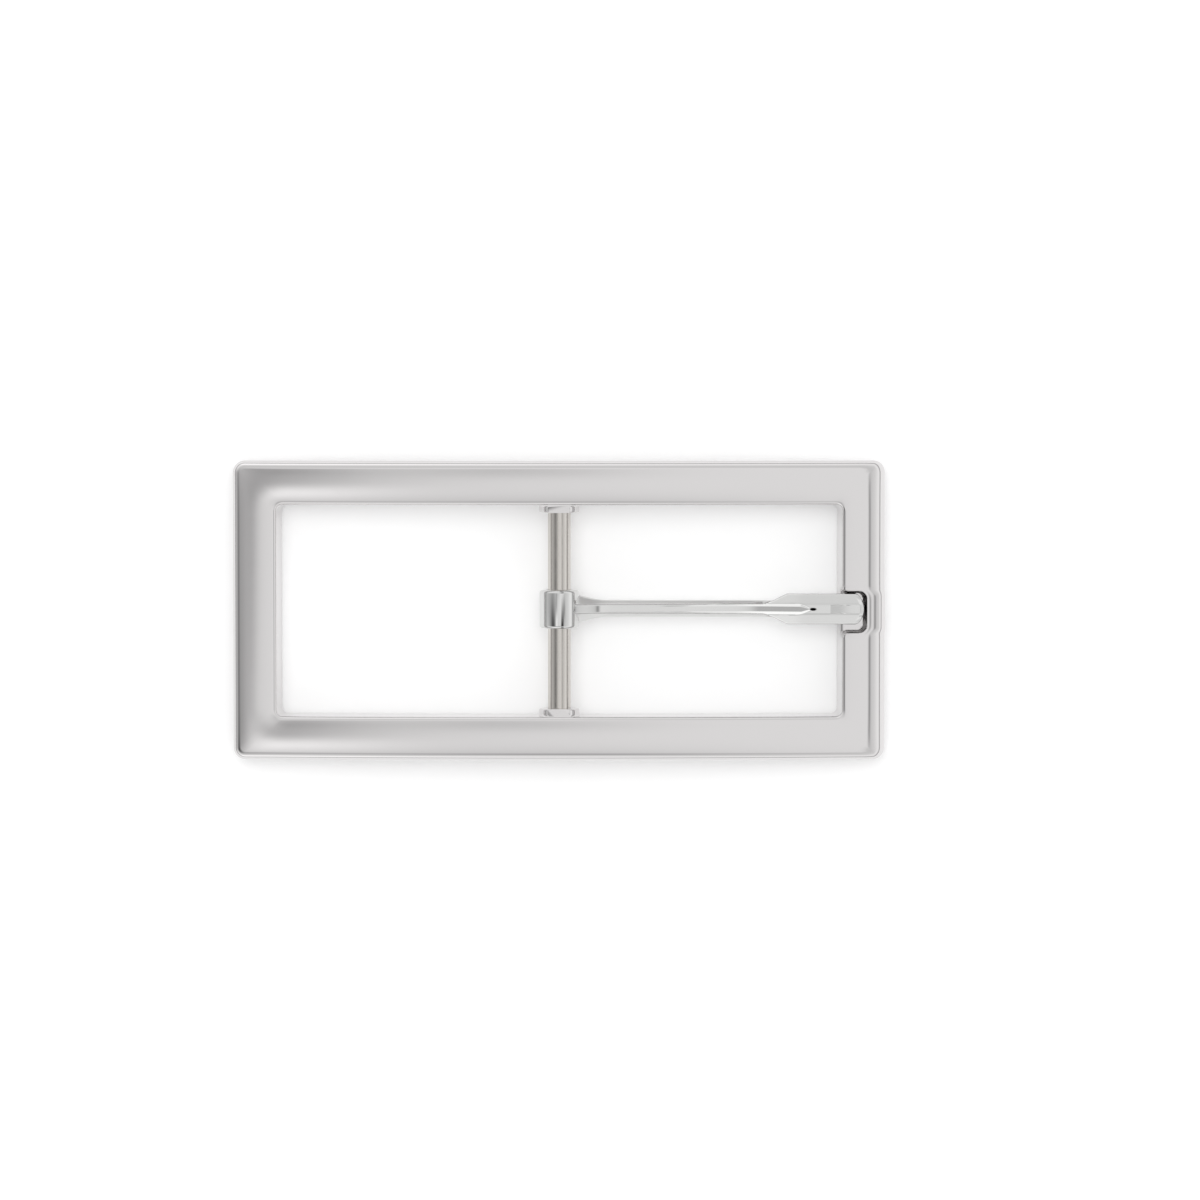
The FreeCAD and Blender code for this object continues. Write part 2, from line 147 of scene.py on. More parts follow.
NOTCH_SHIFT = -0.2 * MM
NOTCH_HALF = 2.64 * MM
NOTCH_END = 39.95 * MM
NOTCH_CORNER = 1.0 * MM
NOTCH_FLOOR = 2.78 * MM
NOTCH_FOOT = -0.24 * MM
NOTCH_BRINK = 0.12 * MM
MOUTH_DEPTH = 0.9 * MM
MOUTH_OPENING = 0.55
# Painted shade on the notch's walls: its strength, where it begins along the bar, and how much
# less of it the end wall gets.
CREVICE_SHADE_GAIN = 4.5
CREVICE_SHADE_START = (37.0 * MM, 37.9 * MM)
CREVICE_SHADE_END = (39.3 * MM, 39.9 * MM)
END_WALL_LESS_SHADE = 0.4


def cut_across(mesh, axis, places, near):
    """Extra loops where a plane square to the axis passes the faces near the notch."""
    normal = Vector((axis == 0, axis == 1, 0))
    for place in places:
        faces = [f for f in mesh.faces if near(f.calc_center_median())]
        edges = dict.fromkeys(e for f in faces for e in f.edges)
        corners = dict.fromkeys(v for f in faces for v in f.verts)
        bmesh.ops.bisect_plane(mesh, geom=[*faces, *edges, *corners], dist=1e-7,
                               plane_co=normal * place, plane_no=normal)


def notch_distance(x, y):
    """Signed distance to the notch's outline, which opens out where it meets the window."""
    start = WINDOW_HALF.x - 5 * MM
    middle = (start + NOTCH_END) / 2
    in_mouth = min(max(WINDOW_HALF.x + MOUTH_DEPTH - x, 0), MOUTH_DEPTH)
    flare = MOUTH_OPENING * in_mouth ** 2 / MM
    return rounded_distance(x - middle, y - NOTCH_SHIFT, (NOTCH_END - start) / 2,
                            NOTCH_HALF + flare, NOTCH_CORNER)


CROWN_RADIUS = 20 * MM
BAR_WIDTH = HALF_LENGTH - WINDOW_HALF.x
MITRE_SOFTNESS = 0.9 * MM
END_ROLL_START = 2.65 * MM
END_ROLL_RADIUS = 3.8 * MM
PAD_REACH = 0.85 * MM
PAD_SHOULDER = (1.9 * MM, 3.4 * MM)
LIP_HEIGHT = 0.025 * MM
LIP_OFFSET = 0.32 * MM
LIP_SPREAD = 0.2 * MM
LEAN_FADE = 2.5 * MM


def soft_least(a, b, softness):
    """Smaller of two lengths, with the crease between them polished round."""
    low = min(a, b)
    share = math.exp((low - a) / softness) + math.exp((low - b) / softness)
    return low - softness * math.log(share)


def face_drop(x, y):
    """How far the front lies below the flat blank: a crowned section with mitred corners,
    the end bar's rolled edge with a pad left beside the notch, and a fine lip round that."""
    from_end = HALF_LENGTH - abs(x)
    from_side = HALF_WIDTH - abs(y)
    from_edge = max(soft_least(from_end, from_side, MITRE_SOFTNESS), 0)
    from_window = max(rounded_distance(x, y, *WINDOW_HALF, WINDOW_CORNER), 0)
    across = BAR_WIDTH * (from_edge / (from_edge + from_window) - 0.5)
    drop = across ** 2 / (2 * CROWN_RADIUS)
    if x > 0:
        pad = 1 - smooth_step(abs(y - NOTCH_SHIFT), *PAD_SHOULDER)
        roll_start = END_ROLL_START - PAD_REACH * pad
        drop += max(roll_start - from_end, 0) ** 2 / (2 * END_ROLL_RADIUS)
        from_lip = notch_distance(x, y) - LIP_OFFSET
        drop -= LIP_HEIGHT * math.exp(-(from_lip / LIP_SPREAD) ** 2)
    return drop


def shape_ring(mesh):
    """Crowns, notches and arches the blank: each column is squashed, then lowered. A float
    attribute of painted shade is 1 on the notch's walls, where the recess is darkened in colour."""
    crevice_shade = mesh.verts.layers.float.new("crevice_shade")
    for corner in mesh.verts:
        x, y, z = corner.co
        back = BACK_RISE - x * x / (2 * (BOW_RADIUS - THICKNESS))
        drop = face_drop(x, y)
        inside = 1 - smooth_step(notch_distance(x, y), NOTCH_FOOT, NOTCH_BRINK)
        drop += inside * (back + THICKNESS - NOTCH_FLOOR - drop)
        # Painted shade: the notch's walls get a dark colour for the shade in the recess, eased off
        # towards the end wall.
        if z > THICKNESS / 2:
            on_wall = min(CREVICE_SHADE_GAIN * inside * (1 - inside), 1)
            kept_dark = (smooth_step(x, *CREVICE_SHADE_START)
                         - END_WALL_LESS_SHADE * smooth_step(x, *CREVICE_SHADE_END))
            corner[crevice_shade] = on_wall * kept_dark
        from_window = Vector((max(abs(x) - WINDOW_HALF.x, 0), max(abs(y) - WINDOW_HALF.y, 0)))
        near_window = 1 - smooth_step(from_window.length, 0, LEAN_FADE)
        lean = WALL_LEAN * (1 - z / THICKNESS) * near_window
        if abs(x) - WINDOW_HALF.x > -WINDOW_CORNER:
            x -= math.copysign(lean, x)
        if abs(y) - WINDOW_HALF.y > -WINDOW_CORNER:
            y -= math.copysign(lean, y)
        z *= 1 - drop / THICKNESS
        x *= 1 - (THICKNESS - z) / BOW_RADIUS  # an arch is shorter along its inner side
        corner.co = (x, y, max(back + z, 0))


def turned(profile, steps=96):
    """Solid turned about Y from (radius, along) points that start and end on the axis."""
    mesh = bmesh.new()
    points = [mesh.verts.new((radius, along, 0)) for radius, along in profile]
    line = [mesh.edges.new(pair) for pair in zip(points, points[1:])]
    bmesh.ops.spin(mesh, geom=points + line, cent=(0, 0, 0), axis=(0, 1, 0),
                   angle=math.tau, steps=steps, use_merge=True)
    bmesh.ops.remove_doubles(mesh, verts=mesh.verts[:], dist=1e-7)
    bmesh.ops.recalc_face_normals(mesh, faces=mesh.faces[:])
    return mesh


def arc(centre, radius, start, end, steps):
    """Points along an arc, from one angle in degrees to another."""
    turns = [math.radians(start + (end - start) * i / steps) for i in range(steps + 1)]
    return [(centre[0] + radius * math.cos(t), centre[1] + radius * math.sin(t)) for t in turns]


def mesh_object(name, mesh):
    """Object at the origin that holds a finished mesh."""
    data = bpy.data.meshes.new(name)
    mesh.to_mesh(data)
    mesh.free()
    made = bpy.data.objects.new(name, data)
    bpy.context.scene.collection.objects.link(made)
    return made


def joined(piece, tools):
    """Adds each tool of (operation, mesh) to a piece, or cuts it away."""
    helpers = []
    for operation, mesh in tools:
        helper = mesh_object("tool", mesh)
        change = piece.modifiers.new("change", "BOOLEAN")
        change.operation = operation
        change.solver = "EXACT"
        change.object = helper
        helpers.append(helper)
    view = bpy.context.evaluated_depsgraph_get()
    result = bpy.data.meshes.new_from_object(piece.evaluated_get(view))
    piece.modifiers.clear()
    piece.data = result
    for helper in helpers:
        bpy.data.objects.remove(helper)


def smooth_shaded(piece, sharp_degrees):
    """Smooth shading, except across edges that turn by more than that many degrees."""
    for face in piece.data.polygons:
        face.use_smooth = True
    piece.data.set_sharp_from_angle(angle=math.radians(sharp_degrees))


def linear(hex_colour):
    """sRGB hex colour as linear red, green, blue and alpha."""
    parts = [int(hex_colour[i:i + 2], 16) / 255 for i in (1, 3, 5)]
    return (*(p / 12.92 if p <= 0.04045 else ((p + 0.055) / 1.055) ** 2.4 for p in parts), 1)


def add_node(tree, kind, settings=None, links=None):
    """Adds a node, sets its sockets and properties, and links sockets from other nodes."""
    node = tree.nodes.new(kind)
    for key, value in (settings or {}).items():
        if isinstance(key, int) or key in node.inputs:
            node.inputs[key].default_value = value
        else:
            setattr(node, key, value)
    for key, source in (links or {}).items():
        tree.links.new(source, node.inputs[key])
    return node


def plated(name, colour, roughness, wave_height, scratch_height, painted_shade_colour=None):
    """Mirror plating over a buffed casting: a faint buffing wave, ripples and fine scratches."""
    material = bpy.data.materials.new(name)
    material.use_nodes = True
    tree = material.node_tree
    shader = tree.nodes["Principled BSDF"]
    shader.inputs["Base Color"].default_value = linear(colour)
    shader.inputs["Metallic"].default_value = 1
    place = add_node(tree, "ShaderNodeTexCoord").outputs["Object"]
    haze_patch = 3.2 * MM
    haze = add_node(tree, "ShaderNodeTexNoise",
                    {"Scale": 1 / haze_patch, "Detail": 4, "Roughness": 0.6}, {"Vector": place})
    rough = add_node(tree, "ShaderNodeMapRange",
                     {"From Min": 0.3, "From Max": 0.75, "To Min": roughness * 0.7,
                      "To Max": roughness * 1.7}, {"Value": haze.outputs["Fac"]})
    roughness_out = rough.outputs["Result"]
    # Painted shade: the base colour is mixed towards a dark colour where the shade attribute is
    # high, and the roughness is raised there.
    if painted_shade_colour:
        crevice_shade = add_node(tree, "ShaderNodeAttribute", {"attribute_name": "crevice_shade"})
        tint = add_node(tree, "ShaderNodeMix",
                        {"data_type": "RGBA", "A": linear(colour), "B": linear(painted_shade_colour)},
                        {"Factor": crevice_shade.outputs["Fac"]})
        tree.links.new(tint.outputs[2], shader.inputs["Base Color"])
        dull = add_node(tree, "ShaderNodeMath", {"operation": "MULTIPLY_ADD", 1: 0.25},
                        {0: crevice_shade.outputs["Fac"], 2: roughness_out})
        roughness_out = dull.outputs["Value"]
    tree.links.new(roughness_out, shader.inputs["Roughness"])
    normal = None
    buffing_wave = (5 * MM, (1, 1, 1), 1.5, wave_height)
    ripple = (1.2 * MM, (0.35, 1, 1), 1, wave_height * 0.22)
    scratches = (0.9 * MM, (1, 6, 6), 5, scratch_height)  # coarser than the real 0.02 mm ones
    for size, stretch, detail, height in (buffing_wave, ripple, scratches):
        across = add_node(tree, "ShaderNodeMapping", {"Scale": stretch}, {"Vector": place})
        noise = add_node(tree, "ShaderNodeTexNoise", {"Scale": 1 / size, "Detail": detail},
                         {"Vector": across.outputs["Vector"]})
        bump = add_node(tree, "ShaderNodeBump", {"Distance": height},
                        {"Height": noise.outputs["Fac"]})
        if normal:
            tree.links.new(normal, bump.inputs["Normal"])
        normal = bump.outputs["Normal"]
    tree.links.new(normal, shader.inputs["Normal"])
    return material


ring = make_ring()
FINE_STEP = 0.06 * MM
COARSE_STEP = 0.3 * MM
wall_steps = range(-7, 6)
cuts_y = [NOTCH_SHIFT + side * (NOTCH_HALF + i * FINE_STEP)
          for side in (-1, 1) for i in wall_steps]
cuts_y += [NOTCH_SHIFT + i * COARSE_STEP for i in range(-18, 19)
           if abs(abs(i * COARSE_STEP) - NOTCH_HALF) > 0.45 * MM]
cuts_x = [NOTCH_END + i * FINE_STEP for i in wall_steps]
for axis, cuts, reach in ((1, cuts_y, 7 * MM), (0, cuts_x, 6 * MM)):
    cut_across(ring, axis, cuts,
               lambda c: c.x > WINDOW_HALF.x - 1 * MM and abs(c.y - NOTCH_SHIFT) < reach)
shape_ring(ring)
frame_piece = mesh_object("frame_casting", ring)

BAR_LOW, BAR_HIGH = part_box("centre_bar")
BAR_RADIUS = (BAR_HIGH.x - BAR_LOW.x) / 2
BAR_AXIS = (BAR_HIGH.z + BAR_LOW.z) / 2
BOSS_RADIUS = 2.65 * MM
BOSS_PROUD = 1.0 * MM
BOSS_FLARE = 0.35 * MM
BOSS_ROUND = 0.2 * MM
BOSS_SUNK = 0.06 * MM
BOSS_ROOT = -2 * MM
BOSS_TOP = FRAME_HIGH.z - 0.4 * MM
BOSS_BOTTOM = BACK_RISE + 0.15 * MM
HOLE_RADIUS = BAR_RADIUS + 0.02 * MM
HOLE_NEAR = BAR_LOW.y - 3 * MM
HOLE_FAR = BAR_HIGH.y + 0.1 * MM


def make_boss(side):
    """Boss with a flared root, levelled above and below, on one long bar's inner wall."""
    wide = BOSS_RADIUS + BOSS_FLARE
    profile = [(0, BOSS_ROOT), (wide, BOSS_ROOT)]
    profile += arc((wide, BOSS_FLARE - BOSS_SUNK), BOSS_FLARE, 270, 180, 6)
    profile += arc((BOSS_RADIUS - BOSS_ROUND, BOSS_PROUD - BOSS_ROUND), BOSS_ROUND, 0, 90, 5)
    profile += [(0, BOSS_PROUD)]
    boss = turned(profile)
    for level, normal in ((BOSS_TOP - BAR_AXIS, 1), (BOSS_BOTTOM - BAR_AXIS, -1)):
        cut = bmesh.ops.bisect_plane(
            boss, geom=boss.verts[:] + boss.edges[:] + boss.faces[:], dist=1e-7,
            plane_co=(0, 0, level), plane_no=(0, 0, normal), clear_outer=True)
        rim = [e for e in cut["geom_cut"] if isinstance(e, bmesh.types.BMEdge)]
        bmesh.ops.holes_fill(boss, edges=rim, sides=0)
    if side > 0:
        bmesh.ops.rotate(boss, verts=boss.verts[:], cent=(0, 0, 0),
                         matrix=Matrix.Rotation(math.pi, 3, "Z"))
    bmesh.ops.translate(boss, verts=boss.verts[:], vec=(0, side * WINDOW_HALF.y, BAR_AXIS))
    return boss


def bar_hole():
    """Cutter for the bar's hole, a hair wider than the bar and open at the near side."""
    hole = turned([(0, HOLE_NEAR), (HOLE_RADIUS, HOLE_NEAR),
                   (HOLE_RADIUS, HOLE_FAR), (0, HOLE_FAR)])
    bmesh.ops.translate(hole, verts=hole.verts[:], vec=(0, 0, BAR_AXIS))
    return hole


joined(frame_piece, [("UNION", make_boss(-1)), ("UNION", make_boss(1)),
                     ("DIFFERENCE", bar_hole())])
CREASE_DEGREES = 32
smooth_shaded(frame_piece, CREASE_DEGREES)
# Bright chrome on buffed zinc alloy: a clear mirror that bends straight lines a little,
# a shade warmer than the prong. Painted shade: a dark grey on the notch's walls, which are also
# rougher.
frame_piece.data.materials.append(plated(
    "chromed_zinc_frame", "#DAD8D8", roughness=0.06, wave_height=4e-6, scratch_height=2e-7,
    painted_shade_colour="#625D5B"))
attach(frame_piece, "frame_body")
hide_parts("frame")

# ---- Centre bar --------------------------------------------------------------------------
# A ground steel pin, nickel plated, pressed in through the near long bar and both bosses
# until its chamfered end is just below the wall. The strap's fold and the prong turn on it.
PIN_CHAMFER = 0.2 * MM
pin = turned([
    (0, BAR_LOW.y),
    (BAR_RADIUS - PIN_CHAMFER, BAR_LOW.y),
    (BAR_RADIUS, BAR_LOW.y + PIN_CHAMFER),
    (BAR_RADIUS, BAR_HIGH.y - PIN_CHAMFER),
    (BAR_RADIUS - PIN_CHAMFER, BAR_HIGH.y),
    (0, BAR_HIGH.y),
])
bmesh.ops.translate(pin, verts=pin.verts[:], vec=(0, 0, BAR_AXIS))
bar_piece = mesh_object("centre_bar_pin", pin)
smooth_shaded(bar_piece, CREASE_DEGREES)
# Nickel on ground steel: yellower and softer than chrome, with fine lines round the pin.
bar_piece.data.materials.append(plated(
    "nickelled_steel_pin", "#CFCBC6", roughness=0.16, wave_height=1e-6, scratch_height=1.2e-6))
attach(bar_piece, "frame_body")
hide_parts("centre_bar")

# ---- Prong -------------------------------------------------------------------------------
# One zinc casting, plated like the frame: a closed eye that turns on the bar, a slim arm
# that runs under the strap, and a faceted blade that comes up through the strap's hole.
PRONG_LOW, PRONG_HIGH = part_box("prong")
PRONG_SHIFT = (PRONG_LOW.y + PRONG_HIGH.y) / 2
EYE_RADIUS = PRONG_HIGH.z - BAR_AXIS
EYE_HALF = (PRONG_HIGH.y - PRONG_LOW.y) / 2
TIP_REACH = PRONG_HIGH.x - 0.15 * MM
ARM_ROOT = 0.9 * MM
ARM_UNDER = 1.9 * MM
ARM_TOP = 4.1 * MM
ARM_HALF = 1.1 * MM
BLADE_UNDER = 2.85 * MM
BLADE_TOP = 5.2 * MM
BLADE_HALF = 2.0 * MM
CRANK = (27.0 * MM, 32.0 * MM)
PROW = (26.5 * MM, 29.6 * MM)
PROW_NOSE_HALF = 0.5 * MM
BEND = 31.3 * MM
RIDGE_FALL = 0.16
RIDGE_HALF = 0.62 * MM
GROOVE_HALF = 0.33 * MM
GROOVE_SLOPE = 0.75
GROOVE_END = 33.5 * MM
HOLLOW = (35.25 * MM, 37.6 * MM)
HOLLOW_SLOPE = 0.13
PIT = (33.0 * MM, 0.45 * MM, 0.19 * MM)
PIT_DEEP = 0.35 * MM
FACET_SLOPE = 0.5
SIDE_SLOPE = 1.3
EDGE_ROUND = 0.14 * MM
UNDER_CHAMFER = 0.35 * MM
TIP_CORNER = 0.35 * MM
TIP_RADIUS = 2.8 * MM
TIP_BEVEL = 0.5 * MM
TIP_BEVEL_SLOPE = 0.45
ROOT_SPAN = (0.5 * MM, 7.5 * MM)
ROOT_WIDER = 0.9 * MM
ROOT_DEEPER = 0.35 * MM
ROOT_HIGHER = 1.6 * MM
BEND_SOFTNESS = 0.35 * MM
GROOVE_RUN_IN = (12 * MM, 24 * MM)
GROOVE_POINT = GROOVE_END - 0.9 * MM
GROOVE_TAPER = 1.2 * MM
HOLLOW_EDGE = (0.46 * MM, 0.6 * MM)
RIDGE_SOFTNESS = 0.02 * MM
SIDE_SOFTNESS = 0.04 * MM
GROOVE_SOFTNESS = 0.015 * MM
TIP_BOW_SPAN = 2.2 * MM
TIP_BEVEL_FADE = (0.9 * MM, 1.8 * MM)


def ramp(value, start, end):
    """Goes from 0 at start to 1 at end in a straight line."""
    return min(max((value - start) / (end - start), 0), 1)


def root_flare(x):
    """How much the arm has swelled to meet the eye: 1 at the eye, 0 along the arm."""
    return (1 - smooth_step(x, *ROOT_SPAN)) ** 1.5


def prong_half(x):
    """Half the prong's width: flared at the eye, slim, then full, with a rounded tip."""
    prow = PROW_NOSE_HALF + (BLADE_HALF - PROW_NOSE_HALF) * ramp(x, *PROW)
    half = max(ARM_HALF + ROOT_WIDER * root_flare(x), prow)
    into = max(x - (TIP_REACH - TIP_CORNER), 0)
    return half - TIP_CORNER + math.sqrt(max(TIP_CORNER ** 2 - into ** 2, 0))


def prong_under(x):
    """Height of the underside: low along the arm, cranked up to the blade."""
    cranked = (BLADE_UNDER - ARM_UNDER) * smooth_step(x, *CRANK)
    return ARM_UNDER + cranked - ROOT_DEEPER * root_flare(x)


def prong_ridge(x):
    """Height of the ridge: level on the blade, then falling to the arm, then up to the eye."""
    fall = -RIDGE_FALL * soft_least(x - BEND, 0, BEND_SOFTNESS)
    return max(BLADE_TOP - fall, ARM_TOP) + ROOT_HIGHER * root_flare(x)


def pit_share(x, y):
    """How far into the pit at the groove's end a place is: 1 at its middle, 0 outside."""
    return max(1 - math.hypot((x - PIT[0]) / PIT[1], y / PIT[2]), 0)


def prong_top(x, y):
    """Height of the top: ridge strip, two facets, prow sides, groove, hollow and pit."""
    y = abs(y)
    ridge = prong_ridge(x)
    facet = ridge - FACET_SLOPE * (y - RIDGE_HALF)
    spread = (BLADE_HALF - PROW_NOSE_HALF) * (x - PROW[0]) / (PROW[1] - PROW[0])
    foot = PROW_NOSE_HALF + max(spread, 0)
    side = ridge - FACET_SLOPE * max(foot - RIDGE_HALF, 0) - SIDE_SLOPE * (y - foot)
    height = soft_least(soft_least(ridge, facet, RIDGE_SOFTNESS), side, SIDE_SOFTNESS)
    if GROOVE_RUN_IN[0] < x < GROOVE_END:
        deepest = RIDGE_FALL * (GROOVE_END - BEND) * smooth_step(x, *GROOVE_RUN_IN)
        floor = max(BLADE_TOP - RIDGE_FALL * (GROOVE_END - x), ridge - deepest)
        floor_half = GROOVE_HALF * ramp(GROOVE_POINT - x, 0, GROOVE_TAPER)
        wall = floor + GROOVE_SLOPE * max(y - floor_half, 0)
        height = soft_least(height, wall, GROOVE_SOFTNESS)
    if x > HOLLOW[0]:
        hollow = -HOLLOW_SLOPE * soft_least(x - HOLLOW[1], 0, BEND_SOFTNESS)
        height -= hollow * (1 - smooth_step(y, *HOLLOW_EDGE))
    return height - PIT_DEEP * pit_share(x, y)


def make_prong():
    """Block cut by closely spaced planes, each corner then moved to the prong's surface.
    Stations are places along it, strips shares of its half width, levels of its height."""
    mesh = bmesh.new()
    bmesh.ops.create_cube(mesh, size=1)
    arm_cuts = [ARM_ROOT + i * 0.45 * MM for i in range(1, 16)]
    arm_cuts += [9 * MM + i * 1.4 * MM for i in range(12)]
    blade_cuts = [26 * MM + i * 0.1 * MM for i in range(60)]
    blade_cuts += [32 * MM + i * 0.05 * MM for i in range(72)]
    blade_cuts += [35.6 * MM + i * 0.1 * MM for i in range(33)]
    tip_cuts = [TIP_REACH - step * MM for step in (0.66, 0.6, 0.54, 0.48, 0.42, 0.36, 0.3, 0.24,
                                                   0.19, 0.14, 0.1, 0.06, 0.03)]
    stations = [ARM_ROOT, *arm_cuts, *blade_cuts, *tip_cuts, TIP_REACH]
    strips = [i / 32 for i in range(17)] + [0.5 + i / 24 for i in range(1, 11)]
    strips += [0.94, 0.96, 0.975, 0.985, 0.993]
    levels = [0.06, 0.12, 0.2, 0.35, 0.5, 0.65, 0.8, 0.9, 0.96]

    def cut(axis, place):
        normal = Vector((axis == 0, axis == 1, axis == 2))
        bmesh.ops.bisect_plane(mesh, geom=mesh.verts[:] + mesh.edges[:] + mesh.faces[:],
                               dist=1e-7, plane_co=normal * place, plane_no=normal)

    for number in range(1, len(stations) - 1):
        cut(0, number / (len(stations) - 1) - 0.5)
    for strip in strips:
        for side in (-1, 1):
            cut(1, side * strip / 2)
    for level in levels:
        cut(2, level - 0.5)

    crevice_shade = mesh.verts.layers.float.new("crevice_shade")
    for corner in mesh.verts:
        along, across, level = corner.co + Vector((0.5, 0, 0.5))
        x = stations[round(along * (len(stations) - 1))]
        share = abs(across) * 2
        half = prong_half(x)
        inner = 0.75 * MM
        y = inner * share * 2 if share < 0.5 else inner + (half - inner) * (share * 2 - 1)
        bowed = TIP_RADIUS - math.sqrt(TIP_RADIUS ** 2 - y * y)
        x -= bowed * smooth_step(x, TIP_REACH - TIP_BOW_SPAN, TIP_REACH)
        into_tip = max(x - (TIP_REACH - TIP_RADIUS), 0)
        from_tip = TIP_RADIUS - math.hypot(into_tip, y * smooth_step(into_tip, 0, 1 * MM))
        gap = max(min(half - y, from_tip), 0)
        round_off = EDGE_ROUND - math.sqrt(max(EDGE_ROUND ** 2 - max(EDGE_ROUND - gap, 0) ** 2, 0))
        mid_tip = 1 - smooth_step(y, *TIP_BEVEL_FADE)
        bevel = TIP_BEVEL_SLOPE * max(TIP_BEVEL - from_tip, 0) * mid_tip
        top = prong_top(x, y) - round_off - bevel
        under = prong_under(x) + max(UNDER_CHAMFER - gap, 0)
        # Painted shade: the pit at the groove's end is darkened in colour.
        corner[crevice_shade] = min(3 * pit_share(x, y), 1) * (level > 0.99)
        corner.co = (x, math.copysign(y, across) + PRONG_SHIFT,
                     under + (top - under) * level)
    bmesh.ops.recalc_face_normals(mesh, faces=mesh.faces[:])
    return mesh


def eye_barrel():
    """Outside of the eye, a short barrel with rounded rims."""
    rim = 0.4 * MM
    profile = [(0, -EYE_HALF), *arc((EYE_RADIUS - rim, rim - EYE_HALF), rim, 270, 360, 6),
               *arc((EYE_RADIUS - rim, EYE_HALF - rim), rim, 0, 90, 6), (0, EYE_HALF)]
    barrel = turned(profile)
    bmesh.ops.translate(barrel, verts=barrel.verts[:], vec=(0, PRONG_SHIFT, BAR_AXIS))
    return barrel


def eye_bore():
    """Cutter for the eye's bore, with a broken edge at each mouth."""
    radius = BAR_RADIUS + 0.05 * MM
    broken = 0.25 * MM
    wide = radius + broken
    past = EYE_HALF + 1 * MM
    bore = turned([(0, -past), (wide, -past), (wide, -EYE_HALF), (radius, broken - EYE_HALF),
                   (radius, EYE_HALF - broken), (wide, EYE_HALF), (wide, past), (0, past)])
    bmesh.ops.translate(bore, verts=bore.verts[:], vec=(0, PRONG_SHIFT, BAR_AXIS))
    return bore


prong_piece = mesh_object("prong_casting", make_prong())
joined(prong_piece, [("UNION", eye_barrel()), ("DIFFERENCE", eye_bore())])
smooth_shaded(prong_piece, CREASE_DEGREES)
# Bright chrome as die cast and tumbled: flatter facets than the frame's face, a neutral
# grey, and painted shade: a nearly black pit.
prong_piece.data.materials.append(plated(
    "chromed_zinc_prong", "#D9D9D8", roughness=0.06, wave_height=2e-6, scratch_height=2e-7,
    painted_shade_colour="#2E2C2B"))
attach(prong_piece, "prong_body")
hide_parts("prong")

# ---- Table -------------------------------------------------------------------------------
# A matt white light table that the buckle lies on, lit a little from below so that shadows
# stay faint. It isn't part of the buckle.
table_mesh = bmesh.new()
TABLE_HALF = 2.0
bmesh.ops.create_grid(table_mesh, x_segments=1, y_segments=1, size=TABLE_HALF)
table = mesh_object("light_table", table_mesh)
# Opal acrylic sheet: no gloss, and a little light of its own.
acrylic = bpy.data.materials.new("lit_white_acrylic")
acrylic.use_nodes = True
for socket, value in (("Base Color", linear("#F7F7F7")), ("Roughness", 0.9),
                      ("Emission Color", linear("#FFFFFF")), ("Emission Strength", 0.15)):
    acrylic.node_tree.nodes["Principled BSDF"].inputs[socket].default_value = value
table.data.materials.append(acrylic)

# ---- Light -------------------------------------------------------------------------------
# A white tent: a large soft panel overhead, a narrow dim gap round the panel, then light side
# walls, and a few darker and lighter places in them. It need only be right as metal mirrors it.
tent = bpy.data.worlds.new("tent")
bpy.context.scene.world = tent
tent.use_nodes = True
air = tent.node_tree
look = add_node(air, "ShaderNodeTexCoord").outputs["Generated"]
split = add_node(air, "ShaderNodeSeparateXYZ", None, {"Vector": look})

# Brightness against height, from -1 straight below to 1 straight above.
WALL_LEVELS = [
    (-1, 0.9), (-0.05, 0.9), (0.0, 0.45), (0.12, 0.5), (0.24, 1.05), (0.42, 1.08),
    (0.62, 0.88), (0.8, 0.78), (0.88, 0.78), (0.935, 0.98), (1.0, 0.98)]
height_share = add_node(air, "ShaderNodeMapRange", {"From Min": -1, "From Max": 1},
                        {"Value": split.outputs["Z"]})
levels = add_node(air, "ShaderNodeValToRGB", None, {"Fac": height_share.outputs["Result"]})
band = levels.color_ramp
while len(band.elements) < len(WALL_LEVELS):
    band.elements.new(0.5)
for element, (height, level) in zip(band.elements, WALL_LEVELS):
    element.position = (height + 1) / 2
    element.color = (level, level, level, 1)
brightness = levels.outputs["Color"]

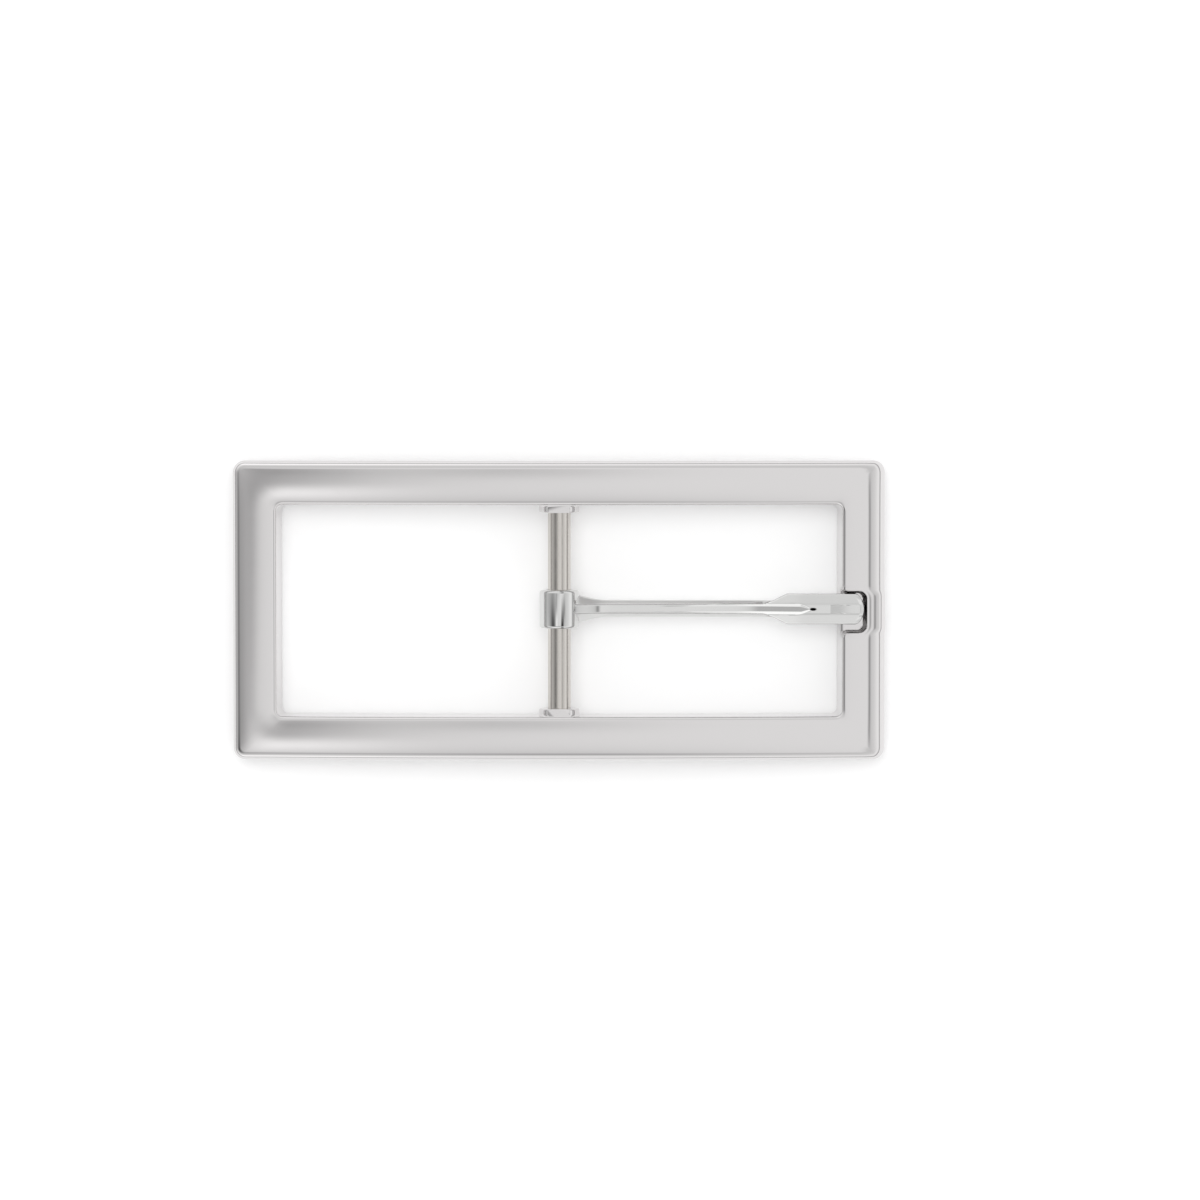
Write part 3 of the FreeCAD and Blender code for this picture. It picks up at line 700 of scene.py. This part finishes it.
# Darker and lighter places: change of brightness, direction in x and y, and reach.
TENT_PLACES = (
    (-0.9, -0.57, -0.2, 0.32),
    (0.81, -0.27, -0.15, 0.105),
    (-0.42, 0.0, -0.42, 0.17),
    (-0.5, 0.5, -0.06, 0.09),
    (-0.22, -0.05, 0.13, 0.1),
    (-0.43, -0.25, 0.12, 0.09),
    (-0.41, -0.28, -0.03, 0.11),
    (0.5, -0.53, -0.08, 0.115),
    (-0.42, -0.92, 0.0, 0.35),
    (0.4, -0.3, 0.92, 0.3),
    (0.4, -0.3, -0.93, 0.3),
)
for change, toward_x, toward_y, reach in TENT_PLACES:
    toward = (toward_x, toward_y, math.sqrt(1 - toward_x ** 2 - toward_y ** 2))
    away = add_node(air, "ShaderNodeVectorMath", {"operation": "DISTANCE", 1: toward},
                    {0: look}).outputs["Value"]
    squared = add_node(air, "ShaderNodeMath", {"operation": "MULTIPLY"}, {0: away, 1: away})
    scaled = add_node(air, "ShaderNodeMath", {"operation": "MULTIPLY", 1: -1 / reach ** 2},
                      {0: squared.outputs["Value"]})
    bell = add_node(air, "ShaderNodeMath", {"operation": "EXPONENT"},
                    {0: scaled.outputs["Value"]})
    factor = add_node(air, "ShaderNodeMath", {"operation": "MULTIPLY_ADD", 1: change, 2: 1},
                      {0: bell.outputs["Value"]})
    brightness = add_node(air, "ShaderNodeMath", {"operation": "MULTIPLY"},
                          {0: brightness, 1: factor.outputs["Value"]}).outputs["Value"]
ray = add_node(air, "ShaderNodeLightPath")
BACKDROP_LEVEL = 0.96
seen = add_node(air, "ShaderNodeMix", {"data_type": "FLOAT", "B": BACKDROP_LEVEL},
                {"Factor": ray.outputs["Is Camera Ray"], "A": brightness})
air.links.new(seen.outputs["Result"], air.nodes["Background"].inputs["Color"])

# The overhead lamp lights the table evenly. Metal mirrors the tent's panel in its place.
overhead_lamp = bpy.data.lights.new("overhead_fill", "AREA")
overhead_lamp.shape = "DISK"
overhead_lamp.size = 0.9
overhead_lamp.energy = 3.6
overhead = bpy.data.objects.new("overhead_fill", overhead_lamp)
overhead.location = (-0.15, 0.25, 1.1)
overhead.rotation_euler = Vector(overhead.location).to_track_quat("Z", "Y").to_euler()
overhead.visible_glossy = False
bpy.context.scene.collection.objects.link(overhead)

# ---- Camera ------------------------------------------------------------------------------
# A long lens, almost straight above and a little towards the far side, with the buckle
# small in the frame and to the left of its middle.
bpy.context.scene.view_settings.view_transform = "Standard"
VIEW_DISTANCE = 0.8
VIEW_TILT = math.radians(3)
VIEW_WIDTH = 155.9 * MM
aim = Vector((5.3 * MM, 1.4 * MM, 5 * MM))
camera_data = bpy.data.cameras.new("camera")
camera_data.sensor_width = 36
camera_data.lens = camera_data.sensor_width * VIEW_DISTANCE / VIEW_WIDTH
camera_data.clip_start = 0.01
camera = bpy.data.objects.new("camera", camera_data)
camera.location = aim + VIEW_DISTANCE * Vector((0, math.sin(VIEW_TILT), math.cos(VIEW_TILT)))
camera.rotation_euler = (-VIEW_TILT, 0, 0)
bpy.context.scene.collection.objects.link(camera)
bpy.context.scene.camera = camera
